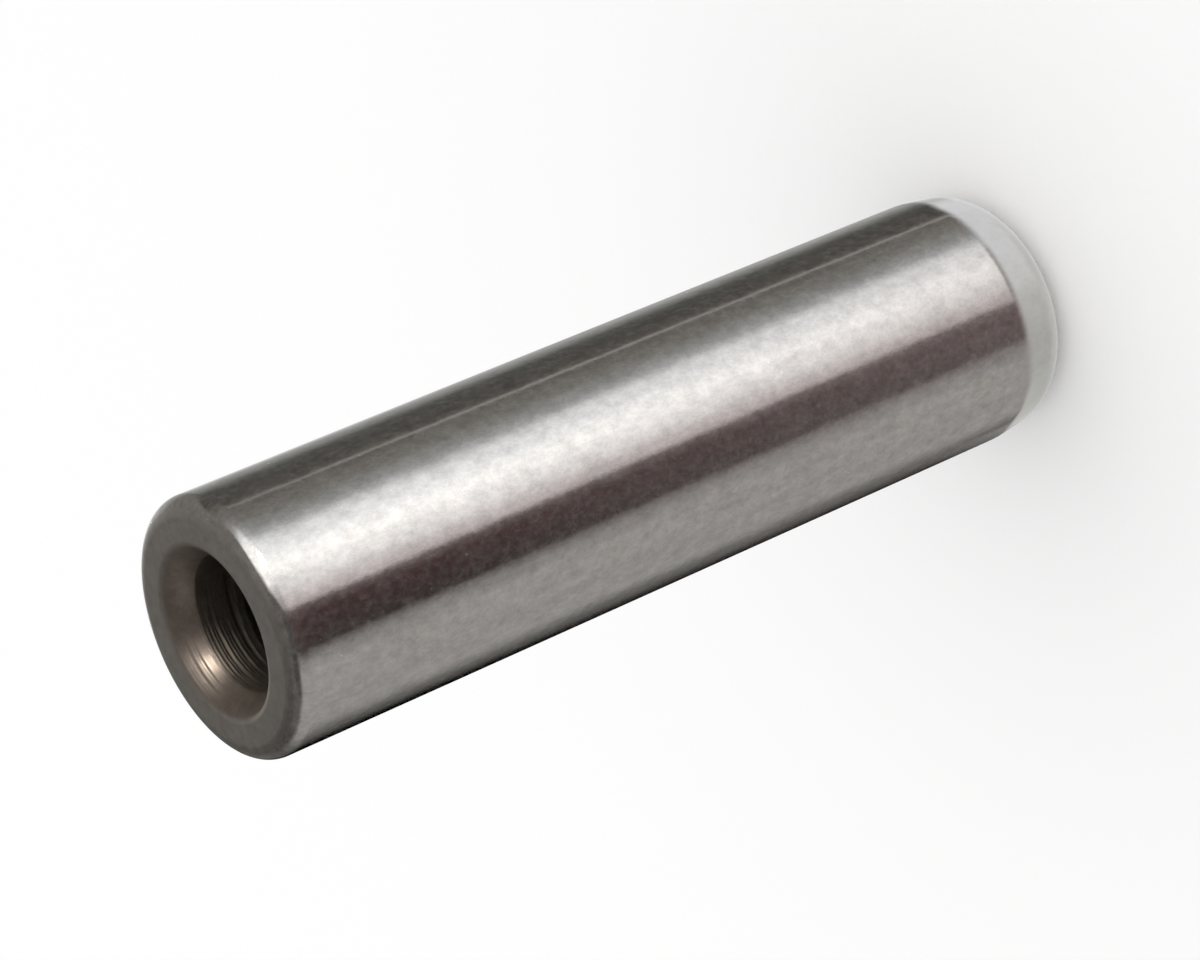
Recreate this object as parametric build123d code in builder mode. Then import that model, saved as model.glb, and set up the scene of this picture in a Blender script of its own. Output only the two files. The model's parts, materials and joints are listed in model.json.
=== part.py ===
"""Pull dowel pin: a hardened and ground parallel pin with a tapped blind hole in one end.

The pin is turned, tapped and ground as one piece. It stands on its lead-in end, with the tapped
end up: +Z runs along the pin's axis and the origin is the middle of the foot. Millimetres.
"""

import os
from math import cos, radians, sin, tan

from build123d import *

# Body
pin_diameter = 8.0  # ground m6 on the real pin
pin_length = 30.0
rim_edge_radius = 0.6  # rounded edge around the tapped end's flat face

# Lead-in: a slow cone that finds the hole, melted into the ground body by tumbling
lead_length = 2.0
lead_angle = 8.0  # of the cone's side from the axis
lead_blend_radius = 3.0  # between the cone and the ground body
foot_edge_radius = 1.2  # between the cone and the flat foot

# Tapped hole for an M5 pull screw. The wall here is the tap drill's.
thread_diameter = 5.0
thread_pitch = 0.8
drilled_depth = 12.0  # full diameter, from the tapped end's face
drill_point_angle = 118.0

# Bell mouth that leads the screw in: an arc that opens wider towards the face
mouth_depth = 0.8
mouth_foot_angle = 20.0  # of the mouth's side from the axis, where it meets the hole's wall
mouth_clearance = 0.15  # past the screw's outside, on the radius
mouth_edge_radius = 0.3  # broken edge where the mouth meets the face

pin_radius = pin_diameter / 2
foot_corner_radius = pin_radius - lead_length * tan(radians(lead_angle))
core_radius = (thread_diameter - thread_pitch) / 2
mouth_radius = thread_diameter / 2 + mouth_clearance
mouth_direction = (sin(radians(mouth_foot_angle)), cos(radians(mouth_foot_angle)))
wall_top = pin_length - mouth_depth
wall_foot = pin_length - drilled_depth
drill_tip = wall_foot - core_radius / tan(radians(drill_point_angle / 2))

with BuildPart() as dowel_pin:
    # Half of the pin's section, which is carried round the axis
    with BuildSketch(Plane.XZ) as half_section:
        # The turned and ground blank
        with BuildLine():
            FilletPolyline(
                (0, 0),
                (foot_corner_radius, 0),
                (pin_radius, lead_length),
                (pin_radius, pin_length),
                (0, pin_length),
                radius=[foot_edge_radius, lead_blend_radius, rim_edge_radius],
            )
            Line((0, pin_length), (0, 0))
        make_face()

        # The hole: the drill's point, the tap drill's wall and the bell mouth
        with BuildLine():
            wall = Line((core_radius, wall_foot), (core_radius, wall_top))
            mouth = TangentArc(wall @ 1, (mouth_radius, pin_length), tangent=mouth_direction)
            Polyline(mouth @ 1, (0, pin_length), (0, drill_tip), wall @ 0)
        make_face(mode=Mode.SUBTRACT)

        # The broken edge where the mouth meets the face
        mouth_corner = half_section.vertices().sort_by_distance((mouth_radius, pin_length, 0))[0]
        fillet(mouth_corner, mouth_edge_radius)
    revolve(axis=Axis.Z)

dowel_pin.part.label = "dowel_pin"

os.makedirs("parts", exist_ok=True)
export_step(dowel_pin.part, "parts/dowel_pin.step")
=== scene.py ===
"""A pull dowel pin as a Blender add-on: the ground steel pin with its tapped end, and a studio.

Everything is in metres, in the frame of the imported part: the pin stands on its lead-in end, with
its axis on +Z and the origin in the middle of its foot.
"""

import json
from math import atan2, cos, hypot, pi, radians, sin, sqrt, tan

import bpy
import numpy as np
from bpy.props import FloatProperty, FloatVectorProperty, IntProperty, PointerProperty
from mathutils import Matrix, Vector


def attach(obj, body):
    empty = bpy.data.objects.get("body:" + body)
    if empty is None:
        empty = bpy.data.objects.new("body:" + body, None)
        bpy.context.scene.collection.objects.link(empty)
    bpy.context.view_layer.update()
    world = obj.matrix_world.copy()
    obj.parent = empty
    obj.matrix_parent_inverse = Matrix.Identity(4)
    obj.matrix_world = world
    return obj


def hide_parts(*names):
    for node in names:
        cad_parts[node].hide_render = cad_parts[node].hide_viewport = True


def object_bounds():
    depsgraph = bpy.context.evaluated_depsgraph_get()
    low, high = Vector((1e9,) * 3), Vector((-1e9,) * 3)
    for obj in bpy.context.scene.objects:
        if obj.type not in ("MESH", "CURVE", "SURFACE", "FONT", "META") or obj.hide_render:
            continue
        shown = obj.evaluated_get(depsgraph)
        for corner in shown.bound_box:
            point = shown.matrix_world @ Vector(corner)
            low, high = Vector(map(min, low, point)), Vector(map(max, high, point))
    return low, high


bl_info = {
    "name": "Pull Dowel Pin",
    "version": (1, 0, 0),
    "blender": (4, 5, 0),
    "location": "3D View > Sidebar > Dowel Pin",
    "description": "Builds a ground steel dowel pin with a tapped end, and a studio for it",
    "category": "Object",
}

MM = 0.001

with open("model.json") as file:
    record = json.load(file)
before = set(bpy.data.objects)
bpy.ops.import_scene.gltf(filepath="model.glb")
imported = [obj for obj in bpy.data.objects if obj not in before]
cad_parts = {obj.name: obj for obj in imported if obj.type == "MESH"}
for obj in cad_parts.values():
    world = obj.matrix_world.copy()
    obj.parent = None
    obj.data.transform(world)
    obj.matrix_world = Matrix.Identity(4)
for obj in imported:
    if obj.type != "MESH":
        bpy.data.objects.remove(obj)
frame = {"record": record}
cad_low, cad_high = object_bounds()
mounts = {mount["name"]: mount for mount in frame["record"]["mounts"]}

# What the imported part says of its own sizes
pin_length = cad_high.z - cad_low.z
pin_radius = cad_high.x
core_radius = mounts["pull_thread"]["dims"]["r_mm"] * MM
wall_length = mounts["pull_thread"]["dims"]["length_mm"] * MM
wall_top = mounts["pull_thread"]["pos_m"][2] + wall_length / 2
wall_foot = mounts["pull_thread"]["pos_m"][2] - wall_length / 2


# ------------------------------------------------------------------------------ what can be set


def length(name, description, default):
    return FloatProperty(
        name=name, description=description, default=default, unit="LENGTH", precision=5
    )


def angle(name, description, degrees):
    return FloatProperty(
        name=name, description=description, default=radians(degrees), subtype="ANGLE"
    )


def amount(name, description, default):
    return FloatProperty(name=name, description=description, default=default, subtype="FACTOR")


def colour(name, description, default):
    return FloatVectorProperty(
        name=name, description=description, default=default, subtype="COLOR", min=0, max=4, size=3
    )


class PinSizes(bpy.types.PropertyGroup):
    """The pin's edges, mouth and thread. Its length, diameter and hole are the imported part's."""

    foot_edge: length("Foot edge", "Radius between the lead-in and the foot", 1.2 * MM)
    lead_length: length("Lead-in length", "Height of the lead-in cone", 2.0 * MM)
    lead_angle: angle("Lead-in angle", "Of the lead-in's side from the axis", 8)
    lead_blend: length("Lead-in blend", "Radius between the lead-in and the body", 3.0 * MM)
    rim_edge: length("Rim edge", "Radius around the tapped face", 0.6 * MM)
    mouth_radius: length("Mouth radius", "Of the mouth's corner with the face", 2.65 * MM)
    mouth_edge: length("Mouth edge", "Radius of the mouth's broken edge", 0.3 * MM)
    mouth_foot_angle: angle("Mouth angle", "Of the mouth's side from the axis at its foot", 20)
    drill_point: angle("Drill point", "Full angle of the cone under the hole", 118)
    thread_radius: length("Thread radius", "Of the thread's root", 2.5 * MM)
    thread_pitch: length("Thread pitch", "From one turn to the next", 0.8 * MM)
    thread_start: length("Thread start", "Of the first turn, from the face", 1.8 * MM)
    thread_run_in: length("Thread run-in", "Over which the first turns deepen", 1.6 * MM)
    thread_depth: length("Thread depth", "Of full thread, from the face", 10.0 * MM)
    ring_depth: length("Ring depth", "That the turned rings' strengths multiply", 0.006 * MM)
    columns: IntProperty(name="Columns", description="Faces around the pin", default=192, min=24)


class PinFinish(bpy.types.PropertyGroup):
    """The steel's colours, how sharply each surface mirrors and how metallic the hole is."""

    ground_colour: colour("Ground steel", "The body's ground steel", (0.600, 0.590, 0.580))
    # The end face is the same steel as the body: its colour is set darker as painted shade on the
    # upturned face, and its turned finish lies in its roughness.
    turned_and_shaded_colour: colour("Turned steel", "The end face", (0.490, 0.475, 0.460))
    mouth_colour: colour("Mouth", "The mouth's brownish steel", (0.204, 0.171, 0.144))
    hole_colour: colour("Hole", "The hole's dark wall", (0.205, 0.185, 0.155))
    ground_roughness: amount("Ground roughness", "Of the body", 0.075)
    rim_roughness: amount("Rim roughness", "Of the rounded edge", 0.08)
    turned_roughness: amount("Turned roughness", "Of the end face", 0.42)
    mouth_roughness: amount("Mouth roughness", "Of the mouth", 0.35)
    hole_roughness: amount("Hole roughness", "Of the hole's wall", 0.58)
    mouth_metal: amount("Mouth metal", "How metallic the mouth is", 0.75)
    hole_metal: amount("Hole metal", "How metallic the hole's wall is", 0.97)


class StudioSettings(bpy.types.PropertyGroup):
    """The camera, the floor and the backdrop's white. What the steel mirrors is set further down."""

    camera_place: FloatVectorProperty(
        name="Camera place", description="Where the camera stands", subtype="XYZ", unit="LENGTH",
        default=(0, -106.55 * MM, 84.29 * MM),
    )
    camera_aim: FloatVectorProperty(
        name="Camera aim", description="The point in the view's middle", subtype="XYZ",
        unit="LENGTH", default=(-0.30 * MM, 0, 16.12 * MM),
    )
    camera_roll: angle("Camera roll", "Turn about the line of sight", -113.12)
    camera_lens: FloatProperty(
        name="Lens", description="Focal length", default=127.02, unit="CAMERA"
    )
    floor_radius: length("Floor radius", "Of the pale round floor", 120 * MM)
    white: colour("White", "The backdrop, and the floor to the camera", (1.0, 1.0, 1.0))
    pale: colour("Pale", "The floor to every other ray", (0.8, 0.8, 0.8))


# ------------------------------------------------------------------------------- shader fields


class Field:
    """A shader output that takes part in sums: each operator adds a Math node to its tree."""

    def __init__(self, tree, socket):
        self.tree = tree
        self.socket = socket

    def node(self, kind, settings=None, inputs=None, output=0):
        """Adds a node of that kind: first its settings, then its inputs by name or number."""
        return add_node(self.tree, kind, settings, inputs, output)

    def math(self, operation, *values):
        return self.node("ShaderNodeMath", {"operation": operation}, dict(enumerate(values)))

    def __add__(self, other):
        return self.math("ADD", self, other)

    def __radd__(self, other):
        return self.math("ADD", other, self)

    def __sub__(self, other):
        return self.math("SUBTRACT", self, other)

    def __rsub__(self, other):
        return self.math("SUBTRACT", other, self)

    def __mul__(self, other):
        return self.math("MULTIPLY", self, other)

    def __rmul__(self, other):
        return self.math("MULTIPLY", other, self)

    def __truediv__(self, other):
        return self.math("DIVIDE", self, other)

    def rises(self, low, high):
        """0 below low, 1 above high, smooth between; it falls where low is above high."""
        settings = {"interpolation_type": "SMOOTHSTEP"}
        if low < high:
            ends = {"From Min": low, "From Max": high, "To Min": 0, "To Max": 1}
        else:
            ends = {"From Min": high, "From Max": low, "To Min": 1, "To Max": 0}
        return self.node("ShaderNodeMapRange", settings, {"Value": self, **ends})


def add_node(tree, kind, settings=None, inputs=None, output=0):
    """Adds a node to a tree: first its settings, then its inputs.

    Returns the Field of the output that is asked for, or the node itself where it has no outputs.
    """
    node = tree.nodes.new(kind)
    for key, value in (settings or {}).items():
        if key == "stops":
            set_stops(node.color_ramp, value)
        else:
            setattr(node, key, value)
    for key, value in (inputs or {}).items():
        if isinstance(value, Field):
            tree.links.new(value.socket, node.inputs[key])
        else:
            node.inputs[key].default_value = value
    return Field(tree, node.outputs[output]) if len(node.outputs) else node


def set_stops(ramp, stops):
    """Gives a colour ramp its stops, each a place from 0 to 1 and a colour."""
    while len(ramp.elements) < len(stops):
        ramp.elements.new(1)
    for element, (place, tint) in zip(ramp.elements, stops):
        element.position = place
        element.color = (*tint, 1)


def mix_colours(mask, first, second):
    """The first colour where the mask is 0, the second where it is 1."""
    inputs = {"Factor": mask, 6: as_colour(first), 7: as_colour(second)}
    return mask.node("ShaderNodeMix", {"data_type": "RGBA"}, inputs, 2)


def as_colour(value):
    return value if isinstance(value, Field) else (*value, 1)


def mix_values(mask, first, second):
    """The first number where the mask is 0, the second where it is 1."""
    return mask.node("ShaderNodeMix", {"data_type": "FLOAT"}, {"Factor": mask, 2: first, 3: second})


# -------------------------------------------------------------------------------- the pin's form

# Rows of faces along each stretch of the section, from the foot's middle to the drill's tip. The
# threaded stretch has them by the turn.
FOOT_ROWS = 10
FOOT_EDGE_ROWS = 26
CONE_ROWS = 8
BLEND_ROWS = 10
BODY_ROWS = 16
RIM_ROWS = 24
FACE_ROWS = 20
MOUTH_EDGE_ROWS = 12
BELL_ROWS = 72
RINGED_ROWS = 84
ROWS_A_TURN = 14
POINT_ROWS = 10

# The turned rings of the mouth and the wall under it: how far down each lies and how wide it is,
# in millimetres, and its strength in ring depths
RINGS = np.array([
    (0.14, 0.028, 0.6),
    (0.30, 0.045, 3.0),
    (0.48, 0.038, 3.0),
    (0.73, 0.034, 2.0),
    (0.92, 0.045, 3.4),
    (1.05, 0.050, 3.8),
    (1.16, 0.040, 2.8),
    (1.28, 0.080, 6.2),
    (1.42, 0.050, 3.4),
    (1.53, 0.045, 3.0),
    (1.66, 0.075, 5.6),
    (1.80, 0.045, 3.0),
    (1.99, 0.060, 2.8),
    (2.22, 0.050, 1.4),
])

# The side of the hole where the rings stand deepest, in degrees round the axis, how narrowly they
# keep to it, and the share of their depth that is left all round
RINGED_SIDE = 114
RING_NARROWNESS = 9
RING_LEAST = 0.05


def straight(start, end, steps):
    """Points of a line from start towards end, closest together at both ends, without its last.

    The place along the line is (1 - cos t) / 2, for t from 0 to pi.
    """
    t = (1 - np.cos(np.arange(steps) / steps * pi)) / 2
    return np.outer(1 - t, start) + np.outer(t, end)


def bend(centre, radius, start, end, steps):
    """Points of an arc in the section, without its last: centre + radius (cos a, sin a)."""
    a = start + (end - start) * np.arange(steps) / steps
    return np.stack([centre[0] + radius * np.cos(a), centre[1] + radius * np.sin(a)], axis=1)


def side_section(sizes):
    """Half of the outer section, from the foot's middle to the rim, as (radius, height) points.

    The straights are the foot, the lead-in cone and the body. Between two of them lies an arc
    whose tangent length is its radius times the tangent of half the turn.
    """
    lean = sizes.lead_angle
    cone_foot = pin_radius - sizes.lead_length * tan(lean)
    foot_tangent = sizes.foot_edge * tan((pi / 2 - lean) / 2)
    blend_tangent = sizes.lead_blend * tan(lean / 2)
    foot_flat = cone_foot - foot_tangent
    cone_start = (cone_foot + foot_tangent * sin(lean), foot_tangent * cos(lean))
    blend_low = sizes.lead_length - blend_tangent * cos(lean)
    cone_end = (pin_radius - blend_tangent * sin(lean), blend_low)
    blend_centre = pin_radius - sizes.lead_blend
    body_low = sizes.lead_length + blend_tangent
    body_high = pin_length - sizes.rim_edge
    rim_flat = pin_radius - sizes.rim_edge
    return [
        straight((0, 0), (foot_flat, 0), FOOT_ROWS),
        bend((foot_flat, sizes.foot_edge), sizes.foot_edge, -pi / 2, -lean, FOOT_EDGE_ROWS),
        straight(cone_start, cone_end, CONE_ROWS),
        bend((blend_centre, body_low), sizes.lead_blend, -lean, 0, BLEND_ROWS),
        straight((pin_radius, body_low), (pin_radius, body_high), BODY_ROWS),
        bend((rim_flat, body_high), sizes.rim_edge, 0, pi / 2, RIM_ROWS),
    ]


def mouth_section(sizes):
    """The tapped face and the bell mouth, from the rim in to the hole's wall.

    The bell is an arc from the wall's top, leaning out by the foot angle, through the mouth's
    corner. Its edge is an arc that touches the face and the bell from inside the steel.
    """
    out = sizes.mouth_radius - core_radius
    up = pin_length - wall_top
    lean = sizes.mouth_foot_angle
    bell = hypot(out, up) / 2 / sin(atan2(out, up) - lean)
    bell_centre = (core_radius + bell * cos(lean), wall_top - bell * sin(lean))
    edge = sizes.mouth_edge
    edge_high = pin_length - edge
    edge_in = sqrt((bell - edge) ** 2 - (edge_high - bell_centre[1]) ** 2)
    edge_centre = (bell_centre[0] - edge_in, edge_high)
    turn = atan2(edge_high - bell_centre[1], edge_in)
    rim_flat = pin_radius - sizes.rim_edge
    return [
        straight((rim_flat, pin_length), (edge_centre[0], pin_length), FACE_ROWS),
        bend(edge_centre, edge, pi / 2, pi - turn, MOUTH_EDGE_ROWS),
        bend(bell_centre, bell, pi - turn, pi - lean, BELL_ROWS),
    ]


def hole_section(sizes):
    """The hole's wall, closely rowed where it is ringed, and the drill's point."""
    ringed_foot = pin_length - sizes.thread_start - sizes.thread_pitch
    turns = (ringed_foot - wall_foot) / sizes.thread_pitch
    tip = wall_foot - core_radius / tan(sizes.drill_point / 2)
    heights = np.concatenate([
        np.linspace(wall_top, ringed_foot, RINGED_ROWS, endpoint=False),
        np.linspace(ringed_foot, wall_foot, round(turns * ROWS_A_TURN), endpoint=False),
    ])
    wall = np.stack([np.full(len(heights), core_radius), heights], axis=1)
    point = straight((core_radius, wall_foot), (0, tip), POINT_ROWS)
    return [wall, point, np.array([(0, tip)])]


def thread_cut(sizes, heights, turns):
    """How much further out the thread's groove takes the wall, for heights and turns.

    The groove's middle goes down by a pitch for each turn backwards, so the thread is right-handed.
    From there the flanks rise at 30 degrees to the radius, between the root's flat, an eighth of
    the pitch wide, and the drilled wall. The first turns deepen and the last one runs out.
    """
    depth = pin_length - heights
    phase = depth / sizes.thread_pitch + turns
    off_middle = np.abs(phase - np.floor(phase) - 0.5) * sizes.thread_pitch
    full = sizes.thread_radius - core_radius
    cut = np.clip(full - (off_middle - sizes.thread_pitch / 16) / tan(pi / 6), 0, full)
    run_in = np.clip((depth - sizes.thread_start) / sizes.thread_run_in, 0, 1)
    run_out = np.clip((sizes.thread_depth - depth) / sizes.thread_pitch + 1, 0, 1)
    return cut * run_in * run_out * (heights < wall_top)


def ring_cut(sizes, heights, turns):
    """How much further out the turned rings take the surface: a groove above a ridge for each.

    That is minus t times e to the minus t squared, where t is how far down from the ring's place a
    point lies, in widths. Round the hole it is weighed by e to the n (cos a - 1), with a the angle
    from the ringed side and n the narrowness, over a small share that is the same all round.
    """
    off = (pin_length - heights)[..., None] - RINGS[:, 0] * MM
    off = off / (RINGS[:, 1] * MM)
    rings = (-off * np.exp(-(off ** 2)) * RINGS[:, 2]).sum(-1)
    off_side = turns * 2 * pi - radians(RINGED_SIDE)
    near_side = np.exp(RING_NARROWNESS * np.cos(off_side) - RING_NARROWNESS)
    return sizes.ring_depth * rings * (RING_LEAST + (1 - RING_LEAST) * near_side)


def revolved(profile, columns, spread):
    """Vertices and faces of a closed surface: each section point is carried round the axis.

    Point (r, z) goes to ((r + s) cos a, (r + s) sin a, z), where s is spread's answer for the
    section's points and the turns. The first and last lie on the axis and are one vertex each.
    """
    ring = profile[1:-1]
    turns = np.arange(columns) / columns
    radii = ring[:, :1] + spread(ring, turns)
    x, y = radii * np.cos(turns * 2 * pi), radii * np.sin(turns * 2 * pi)
    z = np.broadcast_to(ring[:, 1:], radii.shape)
    grid = np.stack([x, y, z], axis=-1).reshape(-1, 3)
    vertices = np.vstack([(0, 0, profile[0][1]), grid, (0, 0, profile[-1][1])])

    rows = len(ring)
    index = 1 + np.arange(rows * columns).reshape(rows, columns)
    beside = np.roll(index, -1, axis=1)
    quads = np.stack([index[:-1], beside[:-1], beside[1:], index[1:]], axis=-1).reshape(-1, 4)
    first = np.stack([np.zeros(columns, int), beside[0], index[0]], axis=-1)
    last = np.stack([np.full(columns, len(vertices) - 1), index[-1], beside[-1]], axis=-1)
    return vertices, [*quads.tolist(), *first.tolist(), *last.tolist()]


def pin_mesh(sizes):
    """The whole pin as one closed surface, from the foot's middle over the rim to the drill's tip."""
    outside = np.vstack([*side_section(sizes), *mouth_section(sizes)])
    hole = np.vstack(hole_section(sizes))
    profile = np.vstack([outside, hole])
    row = np.arange(1, len(profile) - 1)[:, None]

    def spread(ring, turns):
        heights = np.repeat(ring[:, 1:], len(turns), axis=1)
        on_wall = (row >= len(outside)) & (heights > wall_foot)
        thread = thread_cut(sizes, heights, turns) * on_wall
        return thread + ring_cut(sizes, heights, turns) * (row >= len(outside) - BELL_ROWS)

    vertices, faces = revolved(profile, sizes.columns, spread)
    mesh = bpy.data.meshes.new("ground_pin")
    mesh.from_pydata(vertices, [], faces)
    mesh.shade_smooth()
    mesh.update()
    return mesh


# --------------------------------------------------------------------------------- the materials


def new_material(name):
    """A material with an empty node tree, and that tree."""
    material = bpy.data.materials.new(name)
    material.use_nodes = True
    material.node_tree.nodes.clear()
    return material, material.node_tree


def ground_steel(finish, sizes):
    """Ground steel with a duller turned face in painted shade, a warm brown mouth and a dark hole."""
    material, tree = new_material("ground_steel")
    place = add_node(tree, "ShaderNodeTexCoord", output="Object")
    place = place.node("ShaderNodeVectorMath", {"operation": "SCALE"}, {0: place, "Scale": 1 / MM})
    flat = place.node("ShaderNodeVectorMath", {"operation": "MULTIPLY"}, {0: place, 1: (1, 1, 0)})
    out = flat.node("ShaderNodeVectorMath", {"operation": "LENGTH"}, {0: flat}, "Value")
    height = place.node("ShaderNodeSeparateXYZ", inputs={0: place}, output="Z")
    depth = pin_length / MM - height

    # Where each finish lies: 1 on it, 0 off it, with edges in millimetres from the axis, the face or
    # the foot
    mouth_mm = sizes.mouth_radius / MM
    rim_mm = sizes.rim_edge / MM
    lead_mm = sizes.lead_length / MM
    near_top = depth.rises(pin_length / MM / 2 + 1, pin_length / MM / 2)
    in_mouth = out.rises(mouth_mm + 0.18, mouth_mm - 0.12) * near_top
    wall_mm = (pin_length - wall_top) / MM
    in_hole = depth.rises(wall_mm - 0.01, wall_mm + 0.05) * in_mouth
    on_rim = depth.rises(1.1 * rim_mm, 0.7 * rim_mm)
    on_face = depth.rises(0.16, 0.02)
    on_lead = height.rises(lead_mm + 0.6, lead_mm - 0.1)

    def noise(scale, detail, stretch=(1, 1, 1), roughness=0.5):
        spot = place.node("ShaderNodeMapping", inputs={"Vector": place, "Scale": stretch})
        inputs = {"Vector": spot, "Scale": scale, "Detail": detail, "Roughness": roughness}
        return place.node("ShaderNodeTexNoise", inputs=inputs)

    # The grain of each finish, by its scale a millimetre, its detail, its stretch and its roughness
    blotches = noise(2.6, 2)
    clouds = noise(0.55, 1)
    tumbling = noise(2.3, 5, (1.15, 1.15, 0.8), 0.8)
    patches = noise(4.6, 4, (1, 1, 0.8), 0.8)
    grinding = noise(1.0, 3, (0.35, 0.35, 22))
    torn = noise(1.0, 3, (1.5, 1.5, 6), 0.6)
    speckle = noise(11, 2)
    tool_lines = place.node(
        "ShaderNodeTexNoise", {"noise_dimensions": "1D"}, {"W": height, "Scale": 16, "Detail": 2}
    )
    turning = place.node(
        "ShaderNodeTexNoise", {"noise_dimensions": "1D"}, {"W": out, "Scale": 13, "Detail": 2}
    )

    # Colours of the body, the face, the mouth and the hole, then how far the grain darkens them. On
    # the lead-in it is evener, and the face has its own.
    # The face's darker colour is painted shade on the upturned face.
    steel = mix_colours(on_face, finish.ground_colour, finish.turned_and_shaded_colour)
    steel = mix_colours(0.25 * blotches.rises(0.5, 0.8) * on_face, steel, finish.mouth_colour)
    steel = mix_colours(in_mouth, steel, finish.mouth_colour)
    steel = mix_colours(in_hole, steel, finish.hole_colour)
    shade = 0.47 + 0.04 * clouds + 0.98 * tumbling
    shade = mix_values(0.7 * on_lead, shade, 0.96)
    shade = mix_values(on_face, shade, 0.65 + 0.06 * turning + 0.10 * speckle + 0.56 * tumbling)
    grey = shade.node("ShaderNodeCombineColor", inputs={0: shade, 1: shade, 2: shade})
    steel = steel.node(
        "ShaderNodeMix", {"data_type": "RGBA", "blend_type": "MULTIPLY"},
        {"Factor": 1, 6: steel, 7: grey}, 2,
    )

    body_roughness = finish.ground_roughness - 0.13 + 0.26 * tumbling
    roughness = mix_values(on_rim, body_roughness, finish.rim_roughness)
    roughness = mix_values(on_face, roughness, finish.turned_roughness)
    roughness = mix_values(in_mouth, roughness, finish.mouth_roughness)
    roughness = mix_values(in_hole, roughness, finish.hole_roughness)

    # Heights in millimetres: the body's, the face's, the mouth's and the hole's
    relief = 0.0006 * blotches + 0.0022 * tumbling + 0.0003 * grinding
    relief = mix_values(on_face, relief, 0.002 * turning + 0.003 * speckle)
    relief = mix_values(in_mouth, relief, 0.0015 * speckle + 0.003 * tool_lines)
    relief = mix_values(in_hole, relief, 0.002 * speckle + 0.004 * tool_lines + 0.024 * torn)
    normal = relief.node("ShaderNodeBump", inputs={"Height": relief * MM, "Distance": 1.0})

    # The body is a little less metallic in patches
    metal = 1 - 0.11 * patches.rises(0.35, 0.9)
    metal = mix_values(in_mouth, metal, finish.mouth_metal)
    metal = mix_values(in_hole, metal, finish.hole_metal)
    shader = add_node(
        tree, "ShaderNodeBsdfPrincipled",
        inputs={"Base Color": steel, "Metallic": metal, "Roughness": roughness, "Normal": normal},
    )
    add_node(tree, "ShaderNodeOutputMaterial", inputs={"Surface": shader})
    return material


def white_floor(studio):
    """A floor that comes out nearly white and keeps the pin's soft shadow."""
    material, tree = new_material("white_floor")
    seen = add_node(tree, "ShaderNodeLightPath", output="Is Camera Ray")
    pale = add_node(tree, "ShaderNodeBsdfDiffuse", inputs={"Color": as_colour(studio.pale)})
    white = add_node(tree, "ShaderNodeBsdfDiffuse", inputs={"Color": as_colour(studio.white)})
    shader = seen.node("ShaderNodeMixShader", inputs={0: seen, 1: pale, 2: white})
    add_node(tree, "ShaderNodeOutputMaterial", inputs={"Surface": shader})
    return material


# ------------------------------------------------------------------------------------ the studio

# What stands around the pin at its own height, as the light that comes from there. Each stop is an
# azimuth in degrees, from +X through +Y, with its red, green and blue.
AROUND = (
    (-152, (0.46, 0.44, 0.42)),  # grey wall at the left
    (-141, (0.34, 0.33, 0.32)),
    (-135, (0.21, 0.19, 0.18)),
    (-131, (0.054, 0.042, 0.037)),  # brown flag
    (-106, (0.077, 0.045, 0.043)),
    (-98, (0.18, 0.14, 0.135)),
    (-94, (0.72, 0.64, 0.63)),  # softbox
    (-88, (0.88, 0.81, 0.80)),
    (-78, (1.24, 1.20, 1.18)),
    (-60, (1.66, 1.64, 1.61)),
    (-48, (1.42, 1.42, 1.42)),
    (-36, (1.14, 1.15, 1.16)),
    (-27, (0.55, 0.56, 0.56)),
    (-21, (0.40, 0.40, 0.39)),  # grey wall at the right
    (-9, (0.257, 0.247, 0.227)),
    (5, (0.192, 0.177, 0.158)),
    (12.2, (0.150, 0.140, 0.126)),
    (19, (0.108, 0.098, 0.089)),  # the dark room behind
    (34, (0.098, 0.094, 0.084)),
    (44, (0.118, 0.114, 0.103)),
    (52, (0.247, 0.247, 0.237)),
    (62, (0.375, 0.375, 0.36)),
    (70, (0.50, 0.50, 0.49)),
    (82, (0.92, 0.92, 0.90)),
    (90, (0.88, 0.88, 0.88)),
    (94, (0, 0, 0)),
    (113, (0, 0, 0)),
    (121, (0.052, 0.050, 0.045)),
    (136, (0.187, 0.182, 0.172)),
    (152, (0.43, 0.415, 0.40)),
)

# The warm grey that the walls fade to towards the table
HAZE = (0.50, 0.42, 0.41)

# The bright edge of the right wall, the softbox's upper half and its lamp, the ceiling, and the
# table with its edge
WALL_EDGE = (0.46, 0.43, 0.40)
UPPER_SOFTBOX = (1.65, 1.60, 1.55)
GLARE = (56.0, 52.5, 47.8)
CEILING = (0.145, 0.136, 0.124)
DARK_CEILING = (0.090, 0.083, 0.076)
PALE_CEILING = (0.218, 0.204, 0.184)
TABLE_EDGE = (0.21, 0.18, 0.165)
TABLE = (0.78, 0.78, 0.77)

# The pale table below, in the same way
BELOW = (
    (-180, (0.62, 0.63, 0.60)),
    (-150, (0.60, 0.60, 0.58)),
    (-100, (0.74, 0.73, 0.71)),
    (-80, (0.92, 0.92, 0.91)),
    (-40, (0.98, 0.99, 1.01)),
    (40, (0.96, 0.97, 0.99)),
    (70, (0.86, 0.87, 0.88)),
    (110, (0.66, 0.67, 0.64)),
)


def around_ramp(azimuth, stops):
    """The colour that a list of stops gives at an azimuth in degrees."""
    places = [((degrees + 180) / 360, tint) for degrees, tint in stops]
    share = (azimuth + 180) / 360
    return share.node("ShaderNodeValToRGB", {"stops": places}, {"Fac": share}, "Color")


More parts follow.
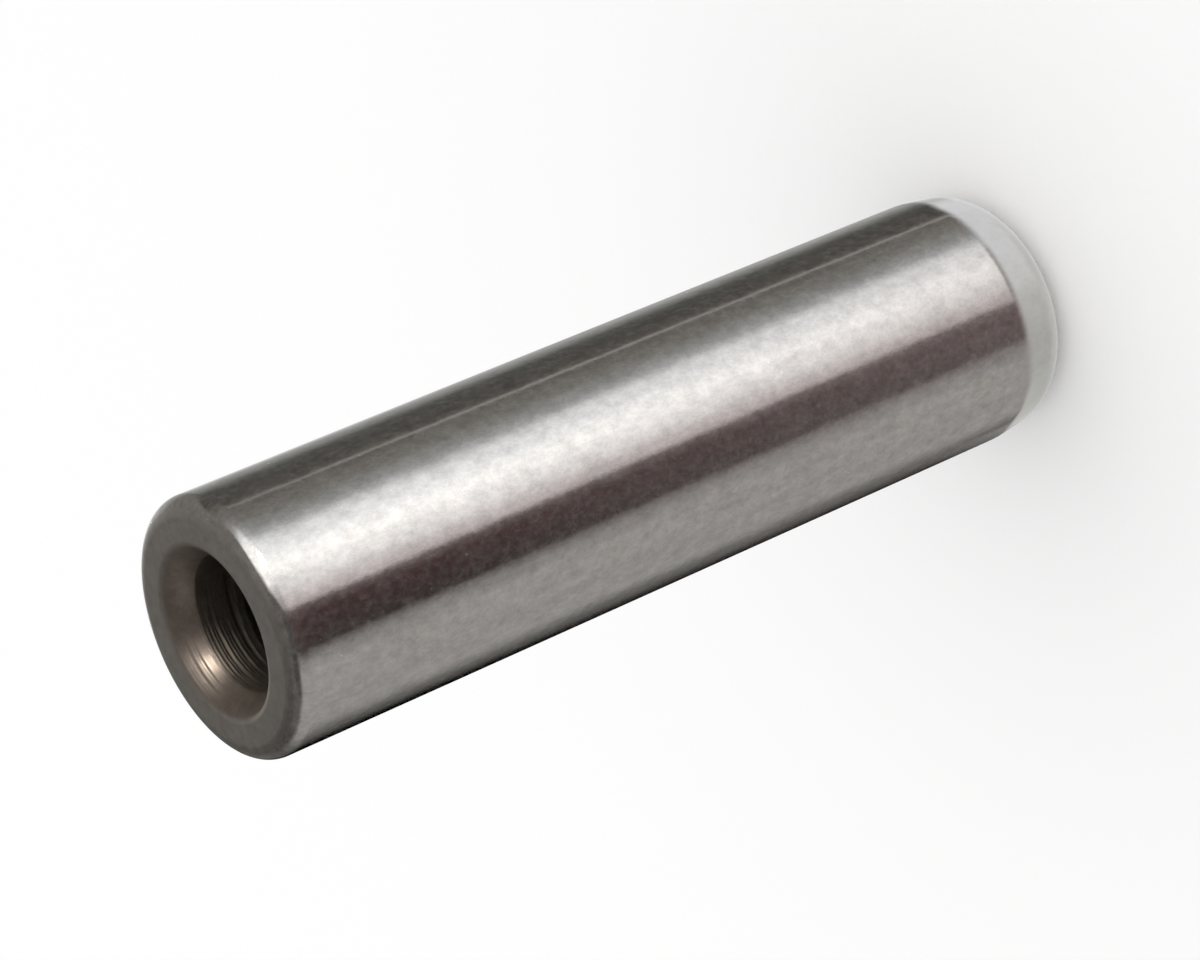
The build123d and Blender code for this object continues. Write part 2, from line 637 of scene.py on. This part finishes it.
def studio_world(studio):
    """Plain white, but for mirror rays: they see a room with a softbox, flags, walls and a table.

    Most of its patches are a window of azimuth times one of elevation, both in degrees, and blend
    a colour over what is there already.
    """
    world = bpy.data.worlds.new("studio")
    world.use_nodes = True
    world.cycles.sampling_method = "NONE"
    tree = world.node_tree
    tree.nodes.clear()

    way = add_node(tree, "ShaderNodeTexCoord", output="Generated")
    x = way.node("ShaderNodeSeparateXYZ", inputs={0: way}, output="X")
    y = way.node("ShaderNodeSeparateXYZ", inputs={0: way}, output="Y")
    z = way.node("ShaderNodeSeparateXYZ", inputs={0: way}, output="Z")
    azimuth = way.math("ARCTAN2", y, x) * (180 / pi)
    elevation = way.math("ARCSINE", z) * (180 / pi)

    # The walls. From 10 degrees up, those past the softbox's middle slant to one side.
    overhead = elevation.math("MAXIMUM", elevation - 10, 0)
    around = around_ramp(azimuth - 0.5 * overhead * azimuth.rises(-75, -50), AROUND)

    # Haze towards the table: in front, from the flag to the softbox, and at the room's back
    hazy = azimuth.rises(-150, -136) * azimuth.rises(-24, -44)
    hazy = hazy + 0.65 * azimuth.rises(96, 116) * azimuth.rises(146, 122)
    haze = hazy * (-30 - elevation) / 34
    room = mix_colours(haze.math("MAXIMUM", haze, 0), around, HAZE)

    # The right wall's bright edge, the foot of the back wall's pale end, and the black stretch
    # beside it, which is lighter from a little below level up
    bright_edge = azimuth.rises(8.2, 10.2) * azimuth.rises(13.0, 10.4) * elevation.rises(-22, -32)
    room = mix_colours(bright_edge, room, WALL_EDGE)
    far_end = azimuth.rises(60, 80) * azimuth.rises(93, 90) * elevation.rises(-28, -33.5)
    room = mix_colours(0.5 * far_end, room, CEILING)
    lifted = azimuth.rises(80, 92) * azimuth.rises(130, 116) * elevation.rises(-24, -8)
    room = mix_colours(lifted, room, CEILING)

    # The softbox's dim upper side, and the brown flag, a little lighter above its foot
    dim_side = azimuth.rises(-104, -96) * azimuth.rises(-58, -80) * elevation.rises(2, 28)
    room = mix_colours(0.4 * dim_side, room, CEILING)
    lifted_flag = azimuth.rises(-141, -130) * azimuth.rises(-94, -106) * elevation.rises(-30, -20)
    room = mix_colours(0.08 * lifted_flag, room, HAZE)

    # The softbox's upper half, a faint glow up the middle of it, and its lamp
    upper = azimuth.rises(-79, -57) * azimuth.rises(-8, -40)
    upper = upper * elevation.rises(0, 26) * elevation.rises(76, 46)
    room = mix_colours(upper, room, UPPER_SOFTBOX)
    glow = azimuth.rises(-76, -60) * azimuth.rises(-42, -54) * elevation.rises(-36, -27)
    room = mix_colours(0.0016 * glow, room, GLARE)
    glare = azimuth.rises(-57, -53) * azimuth.rises(-45, -49)
    glare = glare * elevation.rises(4, 10) * elevation.rises(24, 18)
    room = mix_colours(glare, room, GLARE)

    # The ceiling, darker and paler by side, and the elevation that it begins at all round
    dark_side = azimuth.rises(-90, -110) * elevation.rises(66, 50)
    dark_side = dark_side + azimuth.rises(88, 104) * azimuth.rises(160, 135)
    bright_side = azimuth.rises(-60, 0) * azimuth.rises(98, 84)
    ceiling = mix_colours(dark_side, CEILING, DARK_CEILING)
    ceiling = mix_colours(bright_side, ceiling, PALE_CEILING)
    top = 33 + 31 * azimuth.rises(-112, -60) * azimuth.rises(10, -30)
    top = top - 9 * azimuth.rises(-150, -180) - 49 * azimuth.rises(12, 40) * azimuth.rises(66, 48)
    top = top - (9 + 10 * azimuth.rises(180, 150)) * azimuth.rises(48, 66)
    room = mix_colours((elevation - top).rises(-10, 10), room, ceiling)

    # The table, from its far edge down to straight below the pin
    edge = -40 + 3.5 * azimuth.rises(60, 85) * azimuth.rises(150, 125)
    edge = edge + 1.5 * azimuth.rises(-34, -14) * azimuth.rises(50, 30)
    below_edge = edge - elevation
    dark_edge = azimuth.rises(-104, -84) * azimuth.rises(-24, -42)
    room = mix_colours(0.8 * below_edge.rises(-1.5, 4) * dark_edge, room, TABLE_EDGE)
    table = mix_colours(elevation.rises(-46, -84), around_ramp(azimuth, BELOW), TABLE)
    softness = 12 - 8 * azimuth.rises(-10, 60) * azimuth.rises(180, 150)
    room = mix_colours((below_edge / softness).rises(0, 1), room, table)

    glossy = add_node(tree, "ShaderNodeLightPath", output="Is Glossy Ray")
    light = mix_colours(glossy, studio.white, room)
    background = add_node(tree, "ShaderNodeBackground", inputs={"Color": light, "Strength": 1.0})
    add_node(tree, "ShaderNodeOutputWorld", inputs={"Surface": background})
    return world


def disc_mesh(name, radius, sides=96):
    """A flat disc on the floor's plane, facing up: a fan from the middle to a circle."""
    turns = np.arange(sides) / sides * 2 * pi
    circle = np.stack([radius * np.cos(turns), radius * np.sin(turns), np.zeros(sides)], axis=1)
    index = np.arange(sides)
    fan = np.stack([np.full(sides, sides), index, np.roll(index, -1)], axis=1)
    mesh = bpy.data.meshes.new(name)
    mesh.from_pydata(np.vstack([circle, (0, 0, 0)]), [], fan.tolist())
    mesh.update()
    return mesh


def add_object(name, data):
    """Links a new object at the origin into the scene."""
    thing = bpy.data.objects.new(name, data)
    bpy.context.scene.collection.objects.link(thing)
    return thing


# --------------------------------------------------------------------------------- the operators


class PIN_OT_ground_pin(bpy.types.Operator):
    """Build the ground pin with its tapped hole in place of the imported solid"""

    bl_idname = "dowel_pin.ground_pin"
    bl_label = "Ground Pin"

    def execute(self, context):
        sizes, finish = context.scene.pin_sizes, context.scene.pin_finish
        pin = add_object("ground_pin", pin_mesh(sizes))
        pin.data.materials.append(ground_steel(finish, sizes))
        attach(pin, "root")
        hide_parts("dowel_pin")
        return {"FINISHED"}


class PIN_OT_studio(bpy.types.Operator):
    """Set the white floor, the light and the camera"""

    bl_idname = "dowel_pin.studio"
    bl_label = "Studio"

    def execute(self, context):
        studio = context.scene.pin_studio
        scene = context.scene

        floor = add_object("floor", disc_mesh("floor", studio.floor_radius))
        floor.data.materials.append(white_floor(studio))
        floor.visible_glossy = False
        floor.visible_shadow = False

        scene.world = studio_world(studio)
        scene.view_settings.view_transform = "Standard"

        camera = add_object("camera", bpy.data.cameras.new("camera"))
        camera.data.lens = studio.camera_lens
        camera.data.clip_start = 10 * MM
        place, aim = Vector(studio.camera_place), Vector(studio.camera_aim)
        look = (aim - place).to_track_quat("-Z", "Y").to_matrix().to_4x4()
        roll = Matrix.Rotation(studio.camera_roll, 4, "Z")
        camera.matrix_world = Matrix.Translation(place) @ look @ roll
        scene.camera = camera
        return {"FINISHED"}


class PIN_PT_panel(bpy.types.Panel):
    """Lists the pin's operators and settings"""

    bl_idname = "PIN_PT_panel"
    bl_label = "Dowel Pin"
    bl_space_type = "VIEW_3D"
    bl_region_type = "UI"
    bl_category = "Dowel Pin"

    def draw(self, context):
        layout = self.layout
        for operator, group in (
            (PIN_OT_ground_pin, (context.scene.pin_sizes, context.scene.pin_finish)),
            (PIN_OT_studio, (context.scene.pin_studio,)),
        ):
            layout.operator(operator.bl_idname)
            for settings in group:
                for name in settings.__annotations__:
                    layout.prop(settings, name)


CLASSES = (PinSizes, PinFinish, StudioSettings, PIN_OT_ground_pin, PIN_OT_studio, PIN_PT_panel)


def register():
    for cls in CLASSES:
        bpy.utils.register_class(cls)
    bpy.types.Scene.pin_sizes = PointerProperty(type=PinSizes)
    bpy.types.Scene.pin_finish = PointerProperty(type=PinFinish)
    bpy.types.Scene.pin_studio = PointerProperty(type=StudioSettings)


def unregister():
    del bpy.types.Scene.pin_sizes, bpy.types.Scene.pin_finish, bpy.types.Scene.pin_studio
    for cls in reversed(CLASSES):
        bpy.utils.unregister_class(cls)


def main():
    register()
    bpy.ops.dowel_pin.ground_pin()
    bpy.ops.dowel_pin.studio()


if __name__ == "__main__":
    main()
